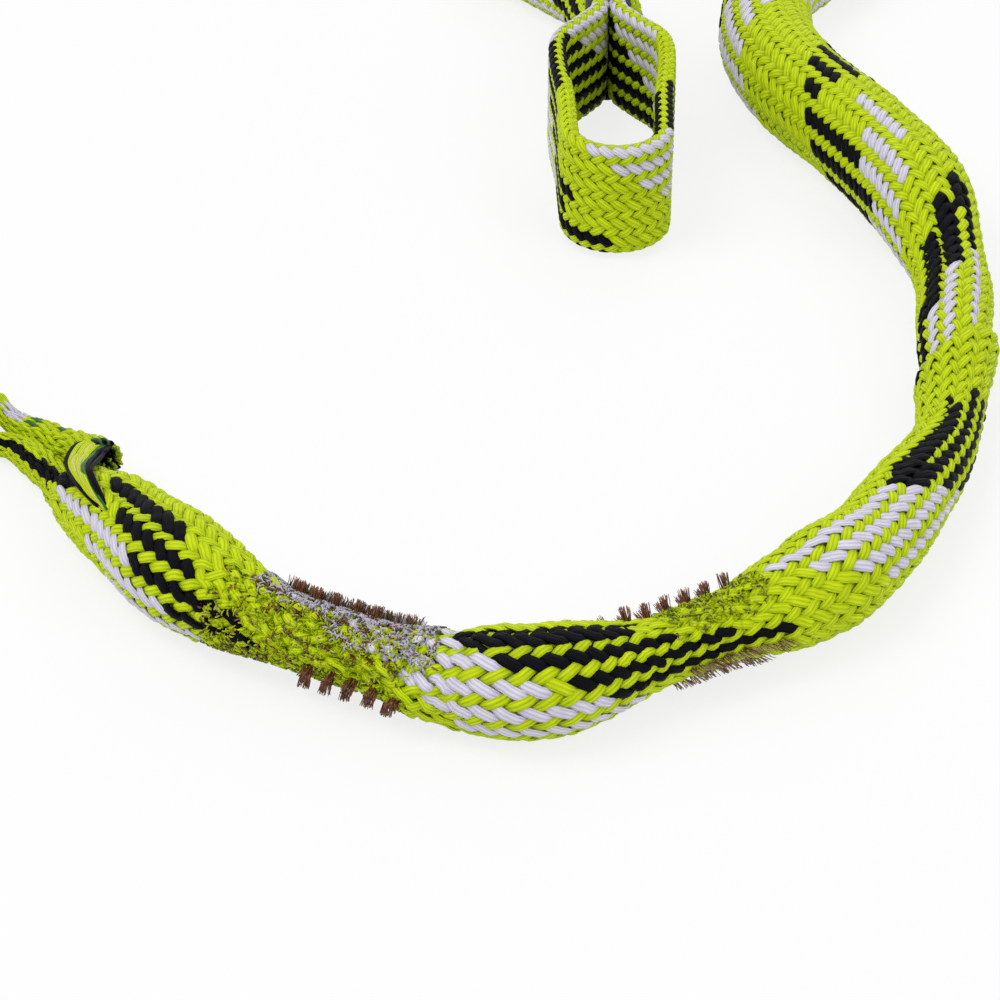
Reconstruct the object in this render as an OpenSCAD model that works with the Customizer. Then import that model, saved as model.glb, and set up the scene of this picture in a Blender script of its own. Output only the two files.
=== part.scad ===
// A pull-through bore cleaning rope: a thick braided sleeve over filler yarn, with two bronze
// bristle sections, an eye at the front for a thin weighted pull cord, and a flat loop at the tail.
// It lies on the plane Z = 0 as a C with a wide bend behind it. Millimetres, +Z up.

/* [Braided sleeve] */
// Diameter where the sleeve comes out of the front eye
eye_neck_d = 8.4; // [7.6:0.1:10]
// Diameter at the neck behind the front splice
front_neck_d = 18; // [15:0.1:19]
// Diameter of the front floss section
front_floss_d = 20.6; // [18:0.1:22]
// Diameter of the sleeve where the bristles come through it
brush_sleeve_d = 12.4; // [11:0.1:14]
// Diameter at the neck behind the first brush
middle_neck_d = 15.8; // [13:0.1:17.4]
// Diameter of the floss section between the brushes
middle_floss_d = 19.6; // [17:0.1:21]
// Diameter at the waist behind the second floss section
waist_d = 12.6; // [11:0.1:15]
// Diameter of the slim stretch behind the waist
slim_d = 15.4; // [13:0.1:17]
// Diameter of the thick tail floss section
tail_floss_d = 22.6; // [20:0.1:24]
// Diameter of the sleeve round the rear bend
bend_d = 20.4; // [18:0.1:22]
// Diameter at the neck in front of the tail loop
tail_neck_d = 17; // [14:0.1:19]
// Thickness of the braided wall
sleeve_wall = 1.6; // [1.2:0.1:2]

/* [Filler and load cord] */
// Diameter of the load cord down the middle
load_cord_d = 3; // [2:0.1:4]
// Clearance between the layers, all round
layer_gap = 0.2; // [0.15:0.05:0.4]
// Half of the gap in the sleeve at each flexing neck
flex_gap = 2.6; // [2.4:0.1:3.2]
// Clearance between the rounded filler end and its socket
flex_clearance = 0.3; // [0.2:0.05:0.5]

/* [Brushes] */
// Length of the bristles outside the sleeve
bristle_reach = 3.1; // [2.2:0.1:3.4]
// Length of the bristles inside the filler
bristle_hold = 1.8; // [1.2:0.1:2.2]
// Diameter of one bristle tuft
tuft_d = 1.4; // [1:0.1:1.6]
// Distance between two rings of tufts
tuft_pitch = 4; // [3:0.1:5]
// Tufts in one ring
tufts_per_ring = 8; // [6:1:9]
// Rings of tufts in one brush
tuft_rings = 6; // [4:1:6]

/* [Front eye] */
// Diameter of the narrowed sleeve in the eye's two legs
eye_leg_d = 6.8; // [6:0.1:6.9]
// Diameter of the sleeve where the pull cord cinches it
eye_tip_d = 4.4; // [4:0.1:4.8]
// Thickness of the whipping round the tucked end
splice_wrap = 1.2; // [0.8:0.1:1.6]

/* [Tail loop] */
// Height of the flattened sleeve, standing on its edge
band_h = 25; // [22:0.5:26]
// Thickness of the flattened sleeve
band_t = 4; // [3:0.1:5]
// Width across the outside of the loop's front end
loop_w = 23.5; // [20:0.5:25]
// Thickness of the whipping round the two legs
tail_wrap = 0.9; // [0.6:0.1:1.2]

/* [Pull cord] */
// Diameter of the pull cord
pull_cord_d = 3; // [2.6:0.1:3.2]
// Turns in one layer of the stored coil
coil_turns_wide = 3; // [2:1:4]
// Layers of turns in the stored coil
coil_layers = 3; // [2:1:4]
// Diameter of the coil at the middle of its turns
coil_mid_d = 34; // [30:1:36]
// Thickness of the tie's strap
tie_t = 0.6; // [0.4:0.1:0.8]
// Width of the tie's strap
tie_w = 5; // [3:0.5:8]
// Length of the sewn seizing that closes the cord's loop
seizing_len = 9; // [6:0.5:12]

/* [Brass weight] */
// Diameter of the weight
weight_d = 8; // [6:0.1:9]
// Length of the weight
weight_len = 32; // [26:0.5:36]
// Depth of the cord's hole
weight_hole_deep = 12; // [8:0.5:16]
// Clearance round the cord in its hole
weight_hole_gap = 0.2; // [0.1:0.05:0.4]

/* [Hidden] */
sides = 14;
cord_sides = 8;
step_u = 1 / 3;
near_u = 0.05;

// The rope's line on the floor, from the front eye to the tail loop. A station is a place along it,
// counted in points.
route = [[-78, -110.5], [-72, -120], [-64, -129.5], [-54, -143], [-41, -155], [-26, -164],
    [-9, -171.6], [6, -174.8], [20, -170.5], [34, -162.5], [46.5, -155], [58, -146.5], [68, -134],
    [76, -118.5], [82.5, -105], [86, -94], [89, -78], [91, -61], [92.5, -44], [91, -28],
    [87, -10], [78, 12], [68, 31], [62.5, 50], [62.5, 67], [65.5, 83], [75, 98], [85, 114],
    [88, 132], [82, 151], [69, 165], [52, 172], [33, 172], [16, 163], [4, 148], [0, 129],
    [4, 110], [13, 97], [22.5, 83], [26, 70], [26, 58], [26, 46]];

// Stations of the necks at which the rope flexes
eye_flex = 2;
brush_flex = 6;
waist_flex = 15;
tail_flex = 39;
// Station at which the tail neck meets the loop
tail_end = 40;
// Station in the middle of the first brush
brush_1_mid = 5.05;
// Station in the middle of the second brush
brush_2_mid = 9.2;

// Sleeve and lift between the named diameters: behind the splice, at the brush neck, behind the second
// brush and before the waist
shoulder_d = 15.2;
shoulder_lift = 15.6;
brush_neck_lift = 17.6;
brush_lead_d = 18;
brush_lead_lift = 18.6;
waist_lead_d = 17.4;
waist_lead_lift = 18;

// Diameter across the bristle tips
bristle_tip_d = brush_sleeve_d + 2 * bristle_reach;

// Station, diameter of the sleeve there, and twice the height of its centre
girths = [[0, eye_neck_d, eye_neck_d], [1, shoulder_d, shoulder_lift],
    [2, front_neck_d, front_neck_d], [3, front_floss_d, front_floss_d],
    [4.65, brush_sleeve_d, bristle_tip_d], [5.5, brush_sleeve_d, bristle_tip_d],
    [6, middle_neck_d, brush_neck_lift], [6.8, middle_floss_d, middle_floss_d],
    [7.3, middle_floss_d, middle_floss_d],
    [8.7, brush_sleeve_d, bristle_tip_d], [9.4, brush_sleeve_d, bristle_tip_d],
    [10.6, brush_lead_d, brush_lead_lift],
    [11.1, middle_floss_d, middle_floss_d], [12, waist_lead_d, waist_lead_lift],
    [15, waist_d, waist_d], [17, slim_d, slim_d], [18.2, slim_d, slim_d],
    [20, tail_floss_d, tail_floss_d], [22, tail_floss_d, tail_floss_d], [25, bend_d, bend_d],
    [37, bend_d, bend_d], [39, tail_neck_d, bend_d], [40, tail_neck_d, bend_d]];

// Layers, as radii off the sleeve's outside
filler_in = sleeve_wall + layer_gap;
load_bore_r = load_cord_d / 2 + layer_gap;
// Clearance of the bristle tips over the floor
tip_lift = 0.2;

// Ball ends and sockets: the lip left round a socket, the angle between their rings, the angle from
// the pole at which a ball meets its filler, and the flat left at a closed pole
socket_lip = 0.4;
dome_step = 20;
ball_shoulder = 92;
pole_r = 0.8;
neck_filler_start = 0.2;

// Front eye: the hole's centre, the way the legs come into it, and its radii
eye_hole = [-97, -86.5];
eye_out = [-0.65, 0.76];
eye_side = [0.76, 0.65];
cord_r = pull_cord_d / 2;
eye_tip_r = eye_tip_d / 2;
cinch_r = eye_tip_r + cord_r + flex_clearance;
eye_tip_z = cinch_r + cord_r + 0.1;
eye_leg_r = eye_leg_d / 2;
eye_sides = 12;
eye_start = 0.1;
eye_lead = 3.4;
eye_flush = 0.3;
splice_share = 0.35;

// Points down the near leg, round the tip and back up the far leg, with the sleeve's radius at each
eye_line = [rope_at(0) - eye_start * unit(heading(0)), rope_at(0) - eye_lead * unit(heading(0)),
    [-85.3, -99.35, eye_leg_r - 0.1], [-89, -95.2, eye_leg_r - 0.5], [-95.2, -92.9, eye_leg_r]];
eye_arc = [for (a = [-90 : 22.5 : 90])
    let (q = eye_hole + cinch_r * (cos(a) * eye_out + sin(a) * eye_side)) [q.x, q.y, eye_tip_z]];
eye_back = [[-90.2, -87.1, eye_leg_r], [-85.4, -90.6, eye_leg_r - 0.5], [-80.3, -95.05, eye_leg_r],
    [-75.6, -99.6, eye_leg_r + 1.8], [-72, -104.2, eye_leg_r + 4], [-70.4, -107, eye_leg_r + 5.2]];
eye_points = concat(eye_line, eye_arc, eye_back);
eye_taper = [eye_leg_r - 0.2, (eye_leg_r + eye_tip_r) / 2 - 0.1, eye_tip_r];
eye_radii = concat([eye_neck_d / 2 - 0.1, eye_leg_r], eye_taper, [for (q = eye_arc) eye_tip_r],
    reversed(eye_taper), [eye_leg_r, eye_leg_r, eye_leg_r]);

// Tail loop: its middle line, the height of its centre and the radius of its front end
loop_x = 26;
band_z = band_h / 2 + layer_gap + tail_wrap;
loop_r = (loop_w - band_t) / 2;
loop_front = -10.3;
leg_x = band_t / 2 + layer_gap / 2;
tail_way = [0, -1, 0];
neck_sides = 16;
whipping_y = 52;
whipping_len = 9;

// One leg of the loop from the neck to its widest and down to the front end, as offsets from the
// middle line
leg_line = [[leg_x, 58], [leg_x, 46], [leg_x + 3.4, 39.5], [11, 31], [11.6, 20], [10.4, 6],
    [loop_r, loop_front]];
loop_points = concat([for (q = leg_line) [loop_x + q.x, q.y, band_z]],
    [for (a = [-22.5 : -22.5 : -157.5])
        [loop_x + loop_r * cos(a), loop_front + loop_r * sin(a), band_z]],
    [for (q = reversed(leg_line)) [loop_x - q.x, q.y, band_z]]);

// Corners of the flattened sleeve's section, as shares of its half thickness and half height
band_section = [[1, 0.86], [0.55, 1], [-0.55, 1], [-1, 0.86], [-1, -0.86], [-0.55, -1], [0.55, -1],
    [1, -0.86]];

// Pull cord: the way its loop leaves the eye, its slope to the floor and its reach
lead_angle = 120;
lead_slope = 7;
loop_reach = 12;
leg_off = cord_r + 0.1;
coil_at = [-134.5, -73];
coil_w = coil_turns_wide * pull_cord_d;
coil_h = coil_layers * pull_cord_d;
tie_gap = 0.05;
coil_z = tie_t + tie_gap;
lead = [[-109.5, -65, 3], [-112, -60.6, 2.2], [-116, -56, 1.6], [-121.5, -53.3, 1.8],
    [-128, -52.6, 2.1], [-134.5, -53, 2.15]];
weight_at = [-155, -99];
tail = [[-154.5, -73, 2.15], [-155.3, -81, 1.8], [-155.4, -88, 2.4], [-155.1, -94, 3.6],
    [weight_at.x, weight_at.y, weight_d / 2],
    [weight_at.x, weight_at.y - weight_hole_deep + 1, weight_d / 2]];

function unit(v) = v / norm(v);

// A smooth line through points, at place u
function spline(p, u) =
    let (n = len(p) - 1, i = max(0, min(n - 1, floor(u))), t = u - i,
        a = i > 0 ? p[i - 1] : 2 * p[0] - p[1], b = p[i], d = p[i + 1],
        e = i + 2 <= n ? p[i + 2] : 2 * p[n] - p[n - 1])
    b + 0.5 * t * ((d - a) + t * ((2 * a - 5 * b + 4 * d - e) + t * (3 * (b - d) + e - a)));

// Diameter (column 1) or doubled height (column 2) at station u
function girth(u, col = 1) =
    let (k = max([for (i = [0 : len(girths) - 2]) if (i == 0 || u >= girths[i][0]) i]),
        a = girths[k], b = girths[k + 1], t = max(0, min(1, (u - a[0]) / (b[0] - a[0]))))
    a[col] + (b[col] - a[col]) * t * t * (3 - 2 * t);

function rope_at(u) = let (p = spline(route, u)) [p.x, p.y, girth(u, 2) / 2];
function rope_r(u) = girth(u) / 2;

// The rope's direction at station u, and its length in one unit of station there
function heading(u) = rope_at(u + near_u) - rope_at(u - near_u);
function pace(u) = norm(heading(u)) / (2 * near_u);

// Both ends and every third of a unit between them, so that all layers share their rings
function stations(a, b) = concat([a],
    [for (i = [ceil(a / step_u + 0.2) : floor(b / step_u - 0.2)]) i * step_u], [b]);

// A ring of points round a place on a line, across its direction
function ring(at, dir, r_side, r_up, n) =
    let (t = unit(dir), s = unit([-t.y, t.x, 0]), u = cross(t, s))
    [for (i = [0 : n - 1]) at + r_side * cos(360 * i / n) * s + r_up * sin(360 * i / n) * u];

function rope_ring(u, r, n) = ring(rope_at(u), heading(u), r, r, n);

function flat(lists) = [for (l = lists) for (x = l) x];

function reversed(list) = [for (i = [len(list) - 1 : -1 : 0]) list[i]];

// Side faces between ring k of m and the one after it, n points each
function skin(k, m, n) = flat([for (i = [0 : n - 1])
    let (j = (i + 1) % n, a = k * n + i, b = k * n + j, c = (k + 1) % m * n + i, d = (k + 1) % m * n + j)
    [[a, c, b], [b, c, d]]]);

// A closed solid through rings of n points, flat at both ends
module loft(rings, n) {
    m = len(rings);
    polyhedron(flat(rings), concat([[for (i = [0 : n - 1]) i]],
        flat([for (k = [0 : m - 2]) skin(k, m, n)]),
        [[for (i = [n - 1 : -1 : 0]) (m - 1) * n + i]]));
}

// A closed solid through a loop of rings: along the outside of a tube and back along its bore
module ring_loop(rings, n) {
    m = len(rings);
    polyhedron(flat(rings), flat([for (k = [0 : m - 1]) skin(k, m, n)]));
}

// Rings round the rope between two stations, inset from the sleeve's outside
function rope_rings(a, b, inset) = [for (u = stations(a, b)) rope_ring(u, rope_r(u) - inset, sides)];

// Rings of one radius round points
function line_rings(points, r, n) = let (m = len(points) - 1)
    [for (i = [0 : m]) ring(points[i], points[min(m, i + 1)] - points[max(0, i - 1)], r, r, n)];

// The braided wall between two stations
module sleeve(a, b) {
    ring_loop(concat(rope_rings(a, b, 0), reversed(rope_rings(a, b, sleeve_wall))), sides);
}

// Radii of a filler's ball end at a neck, and of the socket that takes it
function ball_r(flex) = rope_r(flex) - filler_in - socket_lip;
function socket_r(flex, n) = (ball_r(flex) + flex_clearance) / cos(180 / n) / cos(dome_step / 2);

// Four rings on a sphere from a small hole at its pole to an angle, the pole lying towards dir * way
function dome(at, dir, way, r, hole_r, last, n) =
    let (first = asin(hole_r / r), t = unit(dir))
    [for (k = [0 : 3])
        let (a = first + (last - first) * k / 3)
        ring(at + way * r * cos(a) * t, t, r * sin(a), r * sin(a), n)];

function ball(flex, way, hole_r) =
    dome(rope_at(flex), heading(flex), way, ball_r(flex), hole_r, ball_shoulder, sides);
function socket(flex, way, hole_r) = let (r = socket_r(flex, sides))
    dome(rope_at(flex), heading(flex), way, r, hole_r, acos(flex_gap / r), sides);

// A filler between its ends, with the load cord's bore right through
module bored_filler(from_flex, to_flex, first_end, last_end, bore) {
    ring_loop(concat(first_end,
        rope_rings(beside(from_flex, flex_gap), beside(to_flex, -flex_gap), filler_in),
        reversed(last_end),
        reversed([for (u = stations(bore[0], bore[1])) rope_ring(u, load_bore_r, sides)])), sides);
}

// Stations next to a neck, at a distance in millimetres, and behind the wall of a socket there
function beside(flex, mm) = flex + mm / pace(flex);
function behind_socket(flex, way, mm) = beside(flex, way * (socket_r(flex, sides) + mm));

// The load cord between two stations
module load_cord(a, b) {
    loft([for (u = stations(a, b)) rope_ring(u, load_cord_d / 2, cord_sides)], cord_sides);
}

// Rings of tufts, held in the filler and out through the sleeve
module bristles(mid) {
    pitch_u = tuft_pitch / pace(mid);
    root = brush_sleeve_d / 2 - filler_in - bristle_hold;
    for (k = [0 : tuft_rings - 1], i = [0 : tufts_per_ring - 1]) {
        u = mid + (k - (tuft_rings - 1) / 2) * pitch_u;
        dir = heading(u);
        translate(rope_at(u))
            rotate([0, 0, atan2(dir.y, dir.x)])
                rotate([360 * (i + (k % 2) / 2) / tufts_per_ring, 0, 0])
                    translate([0, 0, root])
                        cylinder(d = tuft_d, h = bristle_tip_d / 2 - root - tip_lift, $fn = 16);
    }
}

module neck_sleeve() {
    color([0.66, 0.8, 0.05]) sleeve(0, beside(eye_flex, -flex_gap));
}

module neck_filler() {
    color([0.4, 0.5, 0.1])
        loft(concat(rope_rings(neck_filler_start, beside(eye_flex, -flex_gap), filler_in),
            reversed(socket(eye_flex, -1, pole_r))), sides);
}

module front_eye() {
    color([0.62, 0.76, 0.06])
        loft([for (i = [0 : len(eye_points) - 1])
            ring(eye_points[i], eye_points[min(len(eye_points) - 1, i + 1)] - eye_points[max(0, i - 1)],
                eye_radii[i], eye_radii[i], eye_sides)], eye_sides);
}

// Turns round the tucked end of the eye's far leg
module splice_whipping() {
    m = len(eye_back) - 1;
    last = eye_back[m];
    bend = eye_back[m - 1];
    points = [bend + (eye_back[m - 2] - bend) * splice_share, bend, last,
        last + eye_flush * unit(last - bend)];
    color([0.45, 0.6, 0.1])
        ring_loop(concat(line_rings(points, eye_leg_r + splice_wrap, eye_sides),
            reversed(line_rings(points, eye_leg_r + layer_gap, eye_sides))), eye_sides);
}

module front_sleeve() {
    color([0.66, 0.8, 0.05]) sleeve(beside(eye_flex, flex_gap), beside(brush_flex, -flex_gap));
}

module front_filler() {
    color([0.4, 0.5, 0.1])
        bored_filler(eye_flex, brush_flex, ball(eye_flex, -1, load_bore_r),
            socket(brush_flex, -1, load_bore_r), [eye_flex, behind_socket(brush_flex, -1, 1)]);
}

module front_load_cord() {
    color([0.95, 0.95, 0.93]) load_cord(beside(eye_flex, 1), behind_socket(brush_flex, -1, 2));
}

module brush_1_bristles() {
    color([0.45, 0.28, 0.14]) bristles(brush_1_mid);
}

module middle_sleeve() {
    color([0.66, 0.8, 0.05]) sleeve(beside(brush_flex, flex_gap), beside(waist_flex, -flex_gap));
}

module middle_filler() {
    color([0.4, 0.5, 0.1])
        bored_filler(brush_flex, waist_flex, ball(brush_flex, -1, load_bore_r),
            ball(waist_flex, 1, load_bore_r), [brush_flex, waist_flex]);
}

module middle_load_cord() {
    color([0.95, 0.95, 0.93]) load_cord(beside(brush_flex, 1), beside(waist_flex, -1));
}

module brush_2_bristles() {
    color([0.45, 0.28, 0.14]) bristles(brush_2_mid);
}

module rear_sleeve() {
    color([0.66, 0.8, 0.05]) sleeve(beside(waist_flex, flex_gap), beside(tail_flex, -flex_gap));
}

module rear_filler() {
    color([0.4, 0.5, 0.1])
        bored_filler(waist_flex, tail_flex, socket(waist_flex, 1, load_bore_r),
            ball(tail_flex, 1, load_bore_r), [behind_socket(waist_flex, 1, 1), tail_flex]);
}

module rear_load_cord() {
    color([0.95, 0.95, 0.93]) load_cord(behind_socket(waist_flex, 1, 2), beside(tail_flex, -1));
}

// From the round sleeve to two flat legs side by side
module tail_neck() {
    from = beside(tail_flex, flex_gap);
    r_in = socket_r(tail_flex, neck_sides);
    color([0.66, 0.8, 0.05])
        loft(concat(dome(rope_at(tail_flex), tail_way, 1, r_in, pole_r, acos(flex_gap / r_in), neck_sides),
            [for (k = [0 : 4])
                let (t = k / 4, u = from + (tail_end - from) * t, p = rope_at(u), r = rope_r(u))
                ring([p.x, p.y, p.z + (band_z - p.z) * t], tail_way,
                    r + (leg_x + band_t / 2 - r) * t, r + (band_h / 2 - r) * t, neck_sides)]), neck_sides);
}

module tail_loop() {
    m = len(loop_points) - 1;
    color([0.66, 0.8, 0.05])
        loft([for (i = [0 : m])
            let (t = unit(loop_points[min(m, i + 1)] - loop_points[max(0, i - 1)]), s = [-t.y, t.x, 0])
            [for (q = band_section) loop_points[i] + s * q.x * band_t / 2 + [0, 0, q.y * band_h / 2]]],
            len(band_section));
}

// Thread wound round both legs in front of the neck
module tail_whipping() {
    in_w = 2 * (leg_x + band_t / 2) + 2 * layer_gap;
    in_h = band_h + 2 * layer_gap;
    color([0.12, 0.13, 0.16])
        translate([loop_x, whipping_y, band_z])
            difference() {
                cube([in_w + 2 * tail_wrap, whipping_len, in_h + 2 * tail_wrap], center = true);
                cube([in_w, whipping_len + 1, in_h], center = true);
            }
}

// Where the pull cord's loop turns round the eye's tip
module at_cinch() {
    translate([eye_hole.x, eye_hole.y, eye_tip_z])
        rotate([0, 0, lead_angle])
            translate([cinch_r, 0, 0])
                rotate([0, lead_slope, 0])
                    children();
}

// The cord's own loop through the eye, standing on edge
module pull_cord_loop() {
    turn = asin((cinch_r - leg_off) / loop_reach);
    leg = sqrt(pow(loop_reach, 2) - pow(cinch_r - leg_off, 2));
    color([0.06, 0.06, 0.08])
        at_cinch()
            rotate([90, 0, 0]) {
                rotate([0, 0, 90 - turn])
                    rotate_extrude(angle = 180 + 2 * turn, $fn = 64)
                        translate([cinch_r, 0]) circle(d = pull_cord_d, $fn = 24);
                for (s = [-1, 1])
                    rotate([0, 0, s * (90 - turn)])
                        translate([cinch_r, 0, 0])
                            rotate([s * 90, 0, 0])
                                cylinder(d = pull_cord_d, h = leg, $fn = 24);
            }
}

module cord_seizing() {
    color([0.1, 0.1, 0.12])
        at_cinch()
            translate([loop_reach, 0, 0])
                rotate([0, 90, 0])
                    cylinder(r = pull_cord_d - 0.1, h = seizing_len, $fn = 32);
}

module pull_cord() {
    color([0.06, 0.06, 0.08]) loft(line_rings(lead, cord_r, cord_sides), cord_sides);
}

module pull_cord_coil() {
    color([0.06, 0.06, 0.08])
        translate([coil_at.x, coil_at.y, coil_z])
            rotate_extrude($fn = 64)
                translate([coil_mid_d / 2 - coil_w / 2, 0])
                    square([coil_w, coil_h]);
}

module pull_cord_tail() {
    color([0.06, 0.06, 0.08]) loft(line_rings(tail, cord_r, cord_sides), cord_sides);
}

module coil_tie() {
    in_x = sqrt(pow(coil_mid_d / 2 - coil_w / 2, 2) - pow(tie_w / 2, 2)) - tie_gap;
    out_x = coil_mid_d / 2 + coil_w / 2 + tie_gap;
    in_w = out_x - in_x;
    in_h = coil_h + 2 * tie_gap;
    color([0.15, 0.15, 0.17])
        translate([coil_at.x + (in_x + out_x) / 2, coil_at.y, coil_z + coil_h / 2])
            difference() {
                cube([in_w + 2 * tie_t, tie_w, in_h + 2 * tie_t], center = true);
                cube([in_w, tie_w + 1, in_h], center = true);
            }
}

// Turned brass: a collar for the cord, a straight shank and a round nose
module brass_weight() {
    r = weight_d / 2;
    color([0.78, 0.6, 0.25])
        translate([weight_at.x, weight_at.y, r])
            rotate([90, 0, 0])
                difference() {
                    rotate_extrude($fn = 64)
                        polygon([[0, 0], [r - 1.2, 0], [r, 1.2], [r, weight_len - 3], [r - 0.8, weight_len - 1],
                            [r - 2.4, weight_len], [0, weight_len]]);
                    translate([0, 0, -1])
                        cylinder(r = cord_r + weight_hole_gap, h = weight_hole_deep + 1, $fn = 32);
                }
}

neck_sleeve();
neck_filler();
front_eye();
splice_whipping();
front_sleeve();
front_filler();
front_load_cord();
brush_1_bristles();
middle_sleeve();
middle_filler();
middle_load_cord();
brush_2_bristles();
rear_sleeve();
rear_filler();
rear_load_cord();
tail_neck();
tail_loop();
tail_whipping();
pull_cord_loop();
cord_seizing();
pull_cord();
pull_cord_coil();
pull_cord_tail();
coil_tie();
brass_weight();
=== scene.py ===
# %% [markdown]
# # A pull-through bore cleaning rope
# One tool cleans the bore of a gun in a single pull. A brass weight on a thin cord is dropped through
# first, the braided rope follows it, two rings of bronze bristles loosen the dirt and the thick
# braided floss behind them wipes it out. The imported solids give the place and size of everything.
# Here each of them gets its real surface: strands that cross over and under one another.

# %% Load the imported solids
import math
import bmesh
import bpy
import numpy as np
from mathutils import Matrix, Vector


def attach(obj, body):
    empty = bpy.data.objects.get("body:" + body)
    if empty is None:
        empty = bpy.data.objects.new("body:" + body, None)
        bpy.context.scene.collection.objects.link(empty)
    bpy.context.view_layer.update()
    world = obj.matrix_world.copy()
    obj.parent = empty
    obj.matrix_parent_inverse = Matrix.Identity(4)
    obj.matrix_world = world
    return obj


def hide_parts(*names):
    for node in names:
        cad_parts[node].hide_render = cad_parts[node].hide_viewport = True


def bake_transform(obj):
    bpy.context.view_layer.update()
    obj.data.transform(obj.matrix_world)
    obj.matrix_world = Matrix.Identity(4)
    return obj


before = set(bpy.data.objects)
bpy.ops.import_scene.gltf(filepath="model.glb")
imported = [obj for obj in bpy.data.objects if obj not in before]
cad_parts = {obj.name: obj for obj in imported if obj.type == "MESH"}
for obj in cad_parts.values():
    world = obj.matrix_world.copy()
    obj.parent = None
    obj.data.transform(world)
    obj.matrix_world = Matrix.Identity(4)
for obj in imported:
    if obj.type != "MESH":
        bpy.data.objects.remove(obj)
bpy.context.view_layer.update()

MM = 0.001

# %% [markdown]
# ## Camera
# A long lens from 60 cm away keeps the front and the rear of the rope nearly the same size. The
# camera looks down at 35 degrees, so both the top and the near side of the braid can be seen.

# %% Set the camera
def put_in_scene(name, data):
    piece = bpy.data.objects.new(name, data)
    bpy.context.scene.collection.objects.link(piece)
    return piece


camera = put_in_scene("camera", bpy.data.cameras.new("camera"))
camera.data.lens = 116.76
camera.data.sensor_width = 36
camera.data.clip_start = 0.01
look_at = Vector((0.002, -0.108, 0))
camera.location = (0.002, -0.5995, 0.3441)
camera.rotation_euler = (look_at - camera.location).to_track_quat("-Z", "Y").to_euler()
bpy.context.scene.camera = camera
print("camera distance:", round((look_at - camera.location).length, 3), "m")

# %% [markdown]
# ## The line of the rope
# A braid follows the line that the rope lies on, so that line comes first. It is a smooth curve
# through given points, with the sleeve's diameter and the height of its centre at stations
# along it. The values are the ones that the solids were made from. From them comes a table of places,
# one for every small step, which every later piece reads.

# %% Values of the rope's line, in millimetres
route = [[-78, -110.5], [-72, -120], [-64, -129.5], [-54, -143], [-41, -155], [-26, -164],
         [-9, -171.6], [6, -174.8], [20, -170.5], [34, -162.5], [46.5, -155], [58, -146.5], [68, -134],
         [76, -118.5], [82.5, -105], [86, -94], [89, -78], [91, -61], [92.5, -44], [91, -28],
         [87, -10], [78, 12], [68, 31], [62.5, 50], [62.5, 67], [65.5, 83], [75, 98], [85, 114],
         [88, 132], [82, 151], [69, 165], [52, 172], [33, 172], [16, 163], [4, 148], [0, 129],
         [4, 110], [13, 97], [22.5, 83], [26, 70], [26, 58], [26, 46]]
brush_sleeve_d, bristle_reach = 12.4, 3.1
bristle_tip_d = brush_sleeve_d + 2 * bristle_reach
girths = [[0, 8.4, 8.4], [1, 15.2, 15.6], [2, 18, 18], [3, 20.6, 20.6],
          [4.65, brush_sleeve_d, bristle_tip_d], [5.5, brush_sleeve_d, bristle_tip_d],
          [6, 15.8, 17.6], [6.8, 19.6, 19.6], [7.3, 19.6, 19.6], [8.7, brush_sleeve_d, bristle_tip_d],
          [9.4, brush_sleeve_d, bristle_tip_d], [10.6, 18, 18.6], [11.1, 19.6, 19.6], [12, 17.4, 18],
          [15, 12.6, 12.6], [17, 15.4, 15.4], [18.2, 15.4, 15.4], [20, 22.6, 22.6],
          [22, 22.6, 22.6], [25, 20.4, 20.4], [37, 20.4, 20.4], [39, 17, 20.4], [40, 17, 20.4]]


# %% Smooth lines and tables along them
def smooth_line(points, places):
    """A smooth curve through points (in millimetres), read at places counted in points."""
    p = np.array(points, float)
    p = np.vstack([2 * p[0] - p[1], p, 2 * p[-1] - p[-2]])
    i = np.clip(np.floor(places).astype(int), 0, len(points) - 2)
    t = (places - i)[:, None]
    a, b, c, d = p[i], p[i + 1], p[i + 2], p[i + 3]
    return b + 0.5 * t * ((c - a) + t * ((2 * a - 5 * b + 4 * c - d) + t * (3 * (b - c) + d - a)))


def girth(places, column):
    """The diameter (column 1) or doubled height (column 2) at stations."""
    rows = np.array(girths)
    k = np.clip(np.searchsorted(rows[:, 0], places, side="right") - 1, 0, len(rows) - 2)
    a, b = rows[k], rows[k + 1]
    t = np.clip((places - a[:, 0]) / (b[:, 0] - a[:, 0]), 0, 1)
    return a[:, column] + (b[:, column] - a[:, column]) * t * t * (3 - 2 * t)


def unit(v):
    return v / np.linalg.norm(v, axis=-1, keepdims=True)


def line_table(places, centre, radius):
    """Distances, directions and sides along a line of places, all in metres."""
    centre = centre * MM
    along = np.concatenate([[0], np.cumsum(np.linalg.norm(np.diff(centre, axis=0), axis=1))])
    ahead = unit(np.gradient(centre, axis=0))
    left = unit(np.stack([-ahead[:, 1], ahead[:, 0], 0 * ahead[:, 0]], 1))
    return {"place": places, "along": along, "centre": centre, "ahead": ahead, "left": left,
            "up": np.cross(ahead, left), "radius": radius * MM}


places = np.arange(0, 41.0001, 0.01)
flat = smooth_line(route, places)
ruffle = np.interp(places, [0, 0.5, 1, 1.5], [0, -0.9, -0.6, 0])
rope = line_table(places, np.column_stack([flat, girth(places, 2) / 2]), girth(places, 1) / 2 + ruffle)
print("rope, eye to tail loop: %.0f mm" % (rope["along"][-1] / MM))


def read(table, name, along):
    """One column of a table at distances along its line."""
    column = table[name]
    if column.ndim == 1:
        return np.interp(along, table["along"], column)
    return np.stack([np.interp(along, table["along"], column[:, k]) for k in range(3)], -1)


def distance_at(station):
    return float(np.interp(station, rope["place"], rope["along"]))


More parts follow.
